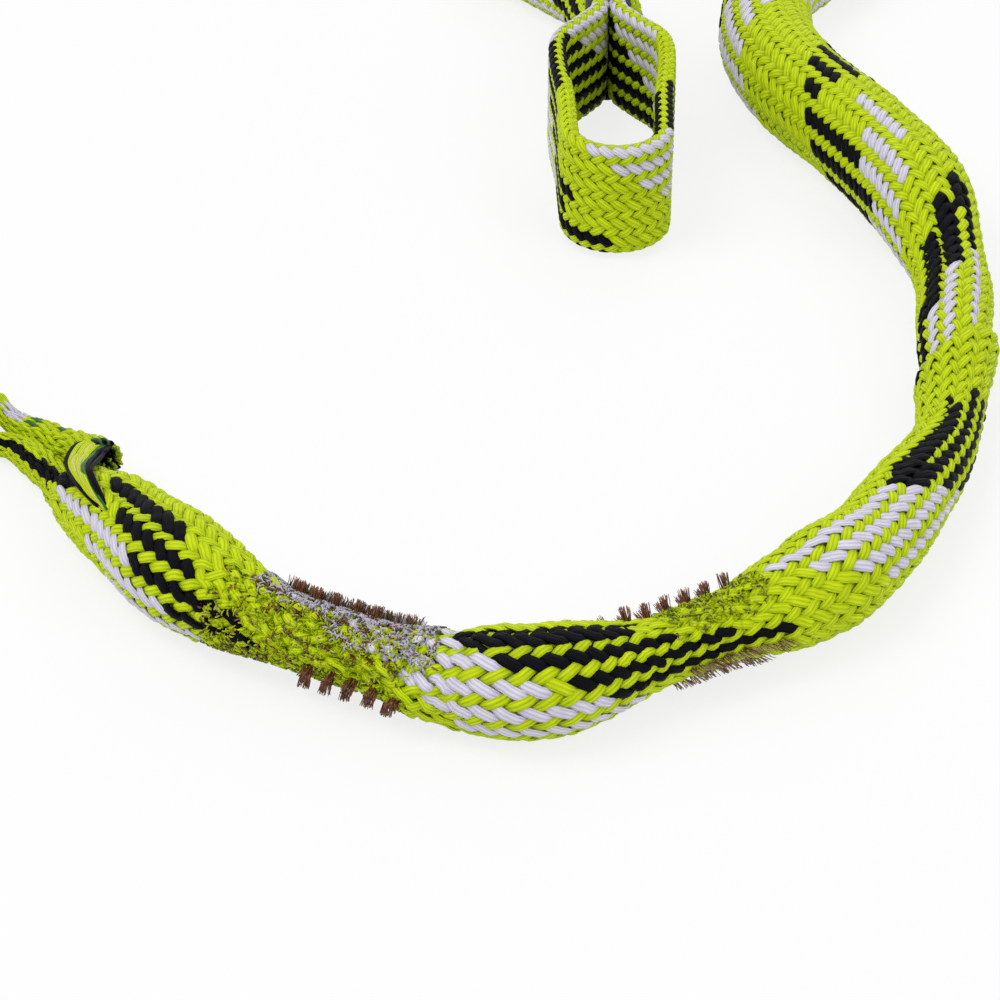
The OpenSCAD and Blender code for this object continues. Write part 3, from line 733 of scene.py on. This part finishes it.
# Lean (0 right, 1 left), from and to along the rope in millimetres, from and to angle, and colour
# (0 black, 1 white, 2 lime, 3 dark green)
bars = [(0, 0, 345, 25, 250, 2), (0, 0, 14, 107, 134, 0), (1, 0, 13, 112, 132, 0),
        (0, 30, 54, 187, 215, 1), (0, 102, 128, 193, 220, 1), (0, 20, 45, 76, 106, 0),
        (0, 29, 53, 107, 132, 0), (0, 10, 38, 133, 158, 1), (0, 38, 62, 133, 158, 0),
        (0, 24, 50, 159, 200, 1), (0, 50, 66, 159, 186, 0), (0, 64, 76, 50, 78, 1),
        (0, 76, 99, 60, 108, 1), (0, 84, 107, 109, 136, 1), (0, 90, 114, 137, 163, 1),
        (0, 96, 122, 164, 192, 1), (0, 100, 130, 76, 108, 0), (1, 100, 130, 66, 92, 0),
        (0, 108, 137, 109, 136, 0), (0, 115, 146, 137, 163, 0), (0, 123, 158, 164, 192, 0),
        (0, 186, 241, -20, 24, 2), (0, 157, 194, 72, 99, 1), (0, 165, 198, 100, 126, 1),
        (0, 171, 204, 127, 154, 1), (0, 178, 211, 155, 190, 1), (0, 194, 232, 77, 107, 0),
        (1, 194, 232, 77, 107, 0), (0, 198, 237, 108, 136, 0), (0, 204, 238, 137, 162, 0),
        (0, 211, 241, 163, 190, 0), (0, 242, 262, 8, 34, 0), (0, 246, 262, 35, 64, 1),
        (0, 262, 291, 35, 64, 0), (1, 262, 288, 30, 46, 0), (0, 250, 276, 64, 92, 1),
        (0, 276, 300, 66, 100, 0), (1, 280, 300, 88, 104, 0), (1, 257, 286, 112, 134, 1),
        (1, 287, 306, 112, 140, 0), (0, 296, 306, 104, 124, 0), (0, 294, 308, -5, 16, 1),
        (0, 309, 338, -5, 16, 0), (0, 300, 319, 17, 42, 1), (0, 320, 345, 17, 42, 0),
        (0, 307, 326, 43, 70, 1), (0, 317, 338, 71, 98, 1)]
front = braid("front_floss_braid", rope, 0, distance_at(4), node_names=["neck_sleeve", "front_sleeve"],
              patches=bars)
over_neck(front)
brush = braid("brush_braid", rope, distance_at(4), distance_at(9.5), node_names=["middle_sleeve"],
              patches=bars)
over_neck(brush)
waist = braid("waist_braid", rope, distance_at(9.5), distance_at(18), node_names=["rear_sleeve"],
              patches=bars)
over_neck(waist)
braid("tail_floss_braid", rope, distance_at(18), distance_at(22.8), "rear_part", patches=bars)
braid("rear_bend_braid", rope, distance_at(22.8), distance_at(30), "rear_part", rings=5)
braid("rear_curl_braid", rope, distance_at(30), distance_at(36), "rear_part", rings=5)

# %% [markdown]
# ## The eye at the front
# The sleeve narrows to a thin tube, turns back on itself round the pull cord and is tucked into its
# own side. It is the same braid with the same strands, so its line is a second table that ends where
# the rope begins, with its stitches counted up to that place.

# %% Braid the eye
eye_out, eye_side = np.array([-0.65, 0.76, 0]), np.array([0.76, 0.65, 0])
eye_tip_height = 5.6
eye_points = [[-70.4, -107, 8.6], [-72, -104.2, 7.4], [-75.6, -99.6, 5.2], [-80.3, -95.05, 3.4],
              [-85.4, -90.6, 2.9], [-90.2, -87.1, 3.4]]
eye_tip = np.append(eye_hole[:2], eye_tip_height)
eye_points += [list(eye_tip + loop_r * (outward * eye_out + sideways * eye_side))
               for outward, sideways in map(polar, np.arange(90, -91, -22.5))]
eye_points += [[-95.2, -92.9, 3.4], [-89, -95.2, 2.9], [-85.3, -99.35, 3.3], [-79.8, -107.6, 4.2],
               [-78, -110.5, 4.2]]
eye_radii = [3.4, 3.5, 3.6, 3.6, 3.2, 2.4] + [2.2] * 9 + [2.2, 2.7, 3.2, 3.4, 4.2]
eye_places = np.linspace(0, len(eye_points) - 1, 1200)
eye = line_table(eye_places, smooth_line(eye_points, eye_places),
                 smooth_line([[r, 0] for r in eye_radii], eye_places)[:, 0])
eye["stitch"] = count_stitches(eye)
eye["marker"] = rope["marker"][0] + 360 / strands * (eye["stitch"] - eye["stitch"][-1])
eye["rough"] = 0 * eye_places + 0.1 * MM
eye_patches = [(0, 0, 80, -60, 230, 2), (0, 27, 33, 50, 140, 1), (1, 27, 31, 60, 130, 1),
               (0, 22, 26, 68, 140, 3), (0, 13, 17, 88, 140, 3), (0, 56, 80, 106, 152, 0),
               (1, 56, 80, 106, 152, 0), (0, 72, 80, 88, 112, 0), (0, 0, 4, 0, 140, 0),
               (1, 0, 4, 20, 120, 3)]
braid("eye_braid", eye, 0, eye["along"][-1], "eye_part", ["front_eye"], rings=5, patches=eye_patches)
print("eye: %.0f mm" % (eye["along"][-1] / MM))

# %% [markdown]
# ### The tuck
# The far leg of the eye ends at the neck. Its strands are unlaid, laid over the neck in a bunch and
# tucked between the strands of the sleeve, as in a splice. Each of them is one wide soft yarn. They
# fan out from the end of the leg and meet again where they go under.

# %% Lay the tucked strands
def on_rope(s, degrees, height):
    """A point on the sleeve: distance and height in millimetres, angle round the rope."""
    centre, side, up = (read(rope, name, s * MM) for name in ("centre", "left", "up"))
    r, turn = float(read(rope, "radius", s * MM)) / MM + height, math.radians(degrees)
    return list(centre / MM + r * math.cos(turn) * side + r * math.sin(turn) * up)


left_edge = [[-73.9, -102, 8.8], [-76, -104, 9.6], [-76.9, -108.8, 10.6], [-76.6, -113, 11.2],
             on_rope(14, 116, 1.0), on_rope(21, 126, 0.8), on_rope(25.5, 128, -0.7)]
right_edge = [[-69.6, -106.5, 10.6], [-70.2, -109.8, 12], [-70.5, -112.5, 12.6], on_rope(16.5, 96, 1.6),
              on_rope(19.5, 108, 1.2), on_rope(23, 118, 0.8), on_rope(27, 124, -0.7)]
yellow = yarn_material("yellow lime filament", (0.78, 0.78, 0.06), (0.45, 0.5, 0.01))
tuck_finishes = (*braid_finishes, yellow)
YELLOW = 4
tuck_colours = [BLACK, BLACK, LIME, YELLOW, LIME, YELLOW, LIME, DARK_GREEN, BLACK, BLACK]


def lay_tuck():
    rng = np.random.default_rng(7)
    share = np.linspace(0, 1, len(tuck_colours))[:, None, None]
    a, b = np.array(left_edge), np.array(right_edge)
    spots = a + (b - a) * share
    bulge = np.array([0.2, 0.6, 0.8, 0.8, 0.6, 0.3, 0])[None, :, None] * np.sin(np.pi * share)
    spots = spots + bulge * np.array([-0.3, -0.4, 0.85]) + rng.normal(0, 0.15, spots.shape)
    lines = np.stack([smooth_line(line, np.linspace(0, 6, 37)) for line in spots]) * MM
    facing = np.broadcast_to(unit(np.array([-0.3, -0.6, 0.75])), lines.shape)
    along = np.linspace(0, 1, 37)
    wide = np.interp(along, [0, 0.15, 0.7, 1], [0.6, 0.65, 0.5, 0.3]) * MM
    return lay_yarns("tucked_strands", lines, facing, wide, 0.42 * MM, finish=tuck_colours,
                     materials=tuck_finishes)


def fray_end(count=46):
    """The cut strands that fill the end of the leg and stand out of it."""
    rng = np.random.default_rng(21)
    end, ahead = np.array([-70.4, -107, 8.6]), unit(np.array([0.45, -0.78, 0.3]))
    across = unit(np.cross(ahead, [0, 0, 1.0]))
    rise = np.cross(across, ahead)
    spot, spin = 2.7 * np.sqrt(rng.uniform(0, 1, count)), rng.uniform(0, 2 * np.pi, count)
    start = end + (spot * np.cos(spin))[:, None] * across + (spot * np.sin(spin))[:, None] * rise
    reach = rng.uniform(0.4, 2.2, count)[:, None]
    lines = np.stack([start - 1.5 * ahead, start, start + 0.5 * reach * ahead,
                      start + reach * (ahead + rng.normal(0, 0.25, (count, 3)))], 1) * MM
    facing = unit(rng.normal(0, 1, (count, 1, 3))) + 0 * lines
    wide = np.array([0.9, 1, 1, 0.7]) * 0.34 * MM
    high = spot * np.sin(spin) > 0.2
    finish = np.where(high, rng.choice([BLACK, BLACK, BLACK, DARK_GREEN], count),
                      rng.choice([LIME, DARK_GREEN, BLACK], count))
    return lay_yarns("frayed_leg_end", lines, facing, wide, wide, finish=finish, materials=tuck_finishes)


frayed = fray_end()
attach(frayed, "eye_part")
tuck = lay_tuck()
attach(tuck, "eye_part")
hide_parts("splice_whipping")

# %% [markdown]
# ## The flat loop at the tail
# At the tail the sleeve is empty, so it lies flat. It is folded into a loop, standing on its edge,
# and both legs are bound together with wound thread where they meet the filled rope. The neck braid
# flattens from a circle to a stadium, and the loop's braid runs round a thinner one.

# %% Braid the tail neck and the loop
leg_x, loop_end_r, loop_front, loop_x, band_z = 2.1, 9.75, -10.3, 26, 13.6
band_h, flat_from, flat_over = 0.025, 39.15, 0.85
leg_line = [[leg_x, 58], [leg_x, 46], [leg_x + 3.4, 39.5], [11, 31], [11.6, 20], [10.4, 6],
            [loop_end_r, loop_front]]
loop_points = [[loop_x - x, y, band_z] for x, y in leg_line]
loop_points += [[loop_x + x, loop_front + y, band_z]
                for x, y in (polar(a, loop_end_r) for a in np.arange(-157.5, -22, 22.5))]
loop_points += [[loop_x + x, y, band_z] for x, y in reversed(leg_line)]
loop_places = np.linspace(0, len(loop_points) - 1, 2000)
loop = line_table(loop_places, smooth_line(loop_points, loop_places), 0 * loop_places + 12)
loop["stitch"] = count_stitches(loop)
loop["marker"] = -80 + 360 / strands * (loop["stitch"] - loop["stitch"][-1] / 2)
loop_middle = loop["along"][-1] / 2 / MM
loop_patches = [(0, loop_middle - 26, loop_middle - 9, 176, 206, BLACK),
                (0, loop_middle - 26, loop_middle - 2, 214, 252, BLACK)]
loop["flat"], loop["band"] = 0 * loop_places + 1, 0.004
braid("tail_loop_braid", loop, 0, loop["along"][-1], "tail_part", ["tail_loop"], rings=4.6,
      patches=loop_patches)

flattening = np.clip((rope["place"] - flat_from) / flat_over, 0, 1)
rope["flat"] = flattening ** 2 * (3 - 2 * flattening)
rope["band"] = 2 * (leg_x + 2) * MM
rope["centre"][:, 2] += rope["flat"] * (band_z * MM - rope["centre"][:, 2])
neck = braid("tail_neck_braid", rope, distance_at(36), distance_at(40.2), node_names=["tail_neck"], rings=5)
over_neck(neck)

# %% Bind the legs of the loop
whipping_y, whipping_len, wrap_d = 52, 9, 0.9
angle = np.linspace(0, 2 * np.pi * whipping_len / wrap_d, 1100)
ring, ring_out, _ = stadium(angle, 4.1 + wrap_d / 2, 12.5 + wrap_d / 2)
whip_spots = np.column_stack([loop_x + ring[:, 0],
                              whipping_y - whipping_len / 2 + angle / (2 * np.pi) * wrap_d,
                              band_z + ring[:, 1]])
whip_out = np.column_stack([ring_out[:, 0], 0 * angle, ring_out[:, 1]])
whipping = lay_yarns("tail_whipping_thread", whip_spots[None] * MM, whip_out[None], wrap_d / 2 * MM,
                     wrap_d / 2 * MM, materials=(thread,))
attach(whipping, "tail_part")
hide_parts("tail_whipping")

# %% [markdown]
# ## Bristles
# The two brushes are phosphor bronze wire. Tufts of it are caught by the load cord and come out
# between the strands, where each tuft opens like a paint brush. A wire is a very thin yarn of three
# steps. Over a thousand are laid for each brush, and a seeded generator draws the lean of each.

# %% Bronze wire
wire_finish = {"Metallic": 0.2, "Roughness": 0.5}
bronze, _ = two_tone_material("bronze wire", wire_finish, 1500.0, (0.05, 0.014, 0.005),
                              (0.30, 0.105, 0.045), 0.35, 0.65)
pale_bronze, _ = two_tone_material("pale bronze wire", wire_finish, 1500.0, (0.14, 0.09, 0.04),
                                   (0.42, 0.32, 0.16), 0.35, 0.65)
print("wires:", bronze.name, "and", pale_bronze.name)

# %% Set the tufts
def round_rope(s, r, angle):
    """Places round the rope's line, at distances along it and from it, in metres."""
    return (read(rope, "centre", s) + (r * np.cos(angle))[:, None] * read(rope, "left", s)
            + (r * np.sin(angle))[:, None] * read(rope, "up", s))


tuft_pitch, tufts_per_ring, wires_per_tuft = 4.0, 8, 40
wire_r, first_tuft, floor_gap = 0.085, 57, 0.12
worn_side, hanging_side = 2.1, 3.9  # angles round the rope, in radians


def set_bristles(name, middle, body, node_name, seed, lean, face_reach, tuft_half, fringe, tuft_rings):
    """Rings of tufts; lean shifts the near side's tufts along the rope, in millimetres.

    On the worn side few and short wires are left. With a fringe, those that hang down are spread out.
    """
    rng = np.random.default_rng(seed)
    ring, tuft, _ = np.meshgrid(np.arange(tuft_rings), np.arange(tufts_per_ring),
                                np.arange(wires_per_tuft), indexing="ij")
    count = ring.size
    turn = 2 * np.pi * tuft / tufts_per_ring + math.radians(first_tuft)
    ring, turn = ring.ravel(), turn.ravel()
    on_top = np.clip(np.cos(turn - worn_side) * 2 - 0.6, 0, 1)
    below = np.clip(np.cos(turn - hanging_side) * 2 - 1, 0, 1)
    rows = (ring - (tuft_rings - 1) / 2) * tuft_pitch * (1 - 0.25 * fringe * below)
    along = distance_at(middle) / MM + rows - lean * np.cos(turn)
    spot, spin = np.sqrt(rng.uniform(0, 1, count)), rng.uniform(0, 2 * np.pi, count)
    spread_along, spread_round = spot * np.cos(spin), spot * np.sin(spin)
    reach = (rng.uniform(0.8, 1.03, count) * bristle_reach * (1 - (1 - face_reach) * on_top)
             * (1 - 0.18 * below - 0.35 * fringe * below))
    lines = np.empty((count, 4, 3))
    r0 = read(rope, "radius", along * MM) / MM
    for k, share in enumerate((-0.5, 0, 0.5, 1)):
        open_out = 1 + 0.35 * max(share, 0)
        s = (along + spread_along * tuft_half * open_out * (1 + 1.4 * fringe * below)
             + rng.normal(0, 0.08, count) + fringe * below * max(share, 0) * 1.2) * MM
        a = turn + (spread_round * 0.11 * tuft_half * open_out + rng.normal(0, 0.01, count))
        r = (r0 + np.where(share < 0, -1.2, share * reach)) * MM
        lines[:, k] = round_rope(s, r, a)
    lines[..., 2] = np.maximum(lines[..., 2], floor_gap * MM)
    sideways = read(rope, "ahead", along * MM)[:, None] + 0 * lines
    kept = rng.uniform(0, 1, count) > np.maximum((0.7 + 0.3 * fringe) * on_top, 0.45 * fringe * below)
    lines, sideways = lines[kept], sideways[kept]
    pale = np.where(fringe * below > 0.3, rng.choice([0, 1, 1], count), 0)[kept]
    thin = np.array([1, 1, 0.9, 0.7]) * wire_r * MM
    piece = lay_yarns(name, lines, sideways, thin, thin, sides=4, finish=pale,
                      materials=(bronze, pale_bronze))
    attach(piece, body)
    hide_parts(node_name)


set_bristles("brush_1_wires", 5.07, "front_part", "brush_1_bristles", seed=3, lean=5.5, face_reach=0.3,
             tuft_half=0.85, fringe=0, tuft_rings=5)
set_bristles("brush_2_wires", 9.12, "middle_part", "brush_2_bristles", seed=4, lean=4.2, face_reach=0.25,
             tuft_half=0.8, fringe=1, tuft_rings=6)

# %% [markdown]
# ### Fuzz
# Wherever wire rubs on yarn, fibres break and stand up. They are laid at random over both brush
# sections, short and thin, in the colours of the strands and of the wire, and some in a darker olive
# that is painted shade among the fibres.

# %% Raise the fuzz
# A darker olive yarn, painted shade among the fuzz fibres of the brush faces
olive = yarn_material("shaded filament", (0.17, 0.19, 0.008), (0.05, 0.06, 0.002))
fuzz_finishes = (black, white, lime, bronze, olive, yellow)


def raise_fuzz(name, s0, s1, body, seed, count, colours, turns=(0, 360), length=(0.8, 1.8), thick=0.16,
               stand=0.0):
    """Loose fibres lying nearly flat on the sleeve between two distances in millimetres.

    colours are places in fuzz_finishes, and one that is listed more often is drawn more often.
    """
    rng = np.random.default_rng(seed)
    s = rng.uniform(s0, s1, count)
    turn = np.radians(rng.uniform(*turns, count))
    way = rng.uniform(0, 2 * np.pi, count)
    size = rng.uniform(*length, count)
    flat_size = size * (1 - stand)
    lines = np.empty((count, 4, 3))
    for k, share in enumerate((0, 0.35, 0.7, 1)):
        here = (s + share * flat_size * np.cos(way)) * MM
        r = read(rope, "radius", here) + (0.5 * np.sin(np.pi * share) + 0.2 * share - 0.25
                                          + stand * share * size) * MM
        lines[:, k] = round_rope(here, r, turn + share * flat_size * MM * np.sin(way) / r)
    lines[..., 2] = np.maximum(lines[..., 2], 0.15 * MM)
    sideways = unit(rng.normal(0, 1, (count, 1, 3))) + 0 * lines
    thin = np.array([0.9, 1, 0.8, 0.5]) * thick * MM
    piece = lay_yarns(name, lines, sideways, thin, thin, sides=4, finish=rng.choice(colours, count),
                      materials=fuzz_finishes)
    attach(piece, body)


raise_fuzz("brush_1_fuzz", 55, 92, "front_part", 11, 800, [2, 2, 2, 2, 2, 5, 4, 3], turns=(90, 250),
           length=(0.7, 1.6), thick=0.19)
raise_fuzz("brush_1_frayed", 60, 95, "front_part", 12, 800, [1, 1, 1, 1, 1, 3, 4], turns=(20, 92),
           length=(0.8, 2), thick=0.2)
raise_fuzz("brush_1_frayed_low", 76, 97, "front_part", 15, 300, [1, 1, 1, 1, 3, 2, 2], turns=(90, 136),
           length=(0.8, 2), thick=0.18)
raise_fuzz("brush_1_stubble", 64, 90, "front_part", 14, 900, [3, 3, 3, 1, 4], turns=(8, 52),
           length=(1.4, 2.9), thick=0.1, stand=0.85)
raise_fuzz("brush_2_fuzz", 136, 156, "middle_part", 13, 200, [2, 2, 2, 5, 4], turns=(60, 132),
           length=(0.7, 1.5), thick=0.17)

# %% [markdown]
# ## Floor and light
# A plain white surface and large soft lamps, as in a catalogue picture. What the camera sees of the
# floor is four fifths its own glow, so it stays white out to the edges. The last fifth is plain paper,
# which takes a soft shadow where the rope touches it. The sky lights the rope less than it shows.

# %% Sky, floor and lamps
scene = bpy.context.scene
scene.view_settings.view_transform = "Standard"


def seen_directly(add, calc):
    """1 for a ray from the camera, straight or by way of a mirror or glass."""
    rays = add("ShaderNodeLightPath").outputs
    return calc("MAXIMUM", rays["Is Camera Ray"], calc("MAXIMUM", rays["Is Glossy Ray"],
                                                       rays["Is Transmission Ray"]))


world = bpy.data.worlds.new("studio")
scene.world = world
world.use_nodes = True
add, link, calc = node_tools(world.node_tree)
sky = world.node_tree.nodes["Background"]
sky.inputs["Color"].default_value = (1, 1, 1, 1)
level = add("ShaderNodeMapRange", {"To Min": 0.55, "To Max": 1.0})
link(seen_directly(add, calc), level.inputs["Value"])
link(level.outputs["Result"], sky.inputs["Strength"])

bm = bmesh.new()
bmesh.ops.create_grid(bm, x_segments=1, y_segments=1, size=3)
floor_mesh = bpy.data.meshes.new("floor")
bm.to_mesh(floor_mesh)
bm.free()
floor = put_in_scene("floor", floor_mesh)
paper, paper_shader = new_material("white paper", {"Base Color": (0.9, 0.9, 0.9, 1), "Roughness": 0.9})
add, link, calc = node_tools(paper.node_tree)
glow = add("ShaderNodeEmission", {"Color": (1, 1, 1, 1)})
mix = add("ShaderNodeMixShader")
link(calc("MULTIPLY", seen_directly(add, calc), 0.8), mix.inputs["Fac"])
link(paper_shader.outputs[0], mix.inputs[1])
link(glow.outputs[0], mix.inputs[2])
link(mix.outputs[0], paper.node_tree.nodes["Material Output"].inputs["Surface"])
floor_mesh.materials.append(paper)


def soft_lamp(name, place, aim, size, watts):
    lamp = put_in_scene(name, bpy.data.lights.new(name, "AREA"))
    lamp.data.shape = "SQUARE"
    lamp.data.size = size
    lamp.data.energy = watts
    lamp.location = place
    lamp.rotation_euler = (Vector(aim) - Vector(place)).to_track_quat("-Z", "Y").to_euler()


soft_lamp("key lamp", (-0.7, -0.3, 1.3), (0, -0.05, 0), 0.8, 9)
soft_lamp("fill lamp", (0.9, -0.9, 0.9), (0, -0.05, 0), 0.9, 4)
soft_lamp("rear lamp", (0.3, 1.1, 0.9), (0, 0, 0), 0.8, 3)

# %% [markdown]
# ## Inside the sleeve
# Filler yarn and the load cord lie under the sleeve and are hardly ever seen. Their solids stay as they
# are and only get a dark finish. This finish is painted shade: a gap between two strands shows dark
# yarn behind it, as if in shadow.

# %% Give the inner solids their finishes
# The two dark tones of the core yarn are painted shade, seen through the gaps in the braid
shaded_core_yarn, _ = two_tone_material("core yarn in painted shade", {"Roughness": 0.9}, 900.0, (0.03, 0.05, 0.005),
                                 (0.12, 0.18, 0.01))
inner = [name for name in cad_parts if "filler" in name or "load_cord" in name]
for name in inner:
    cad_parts[name].data.materials.clear()
    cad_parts[name].data.materials.append(shaded_core_yarn)
print("inner solids:", inner)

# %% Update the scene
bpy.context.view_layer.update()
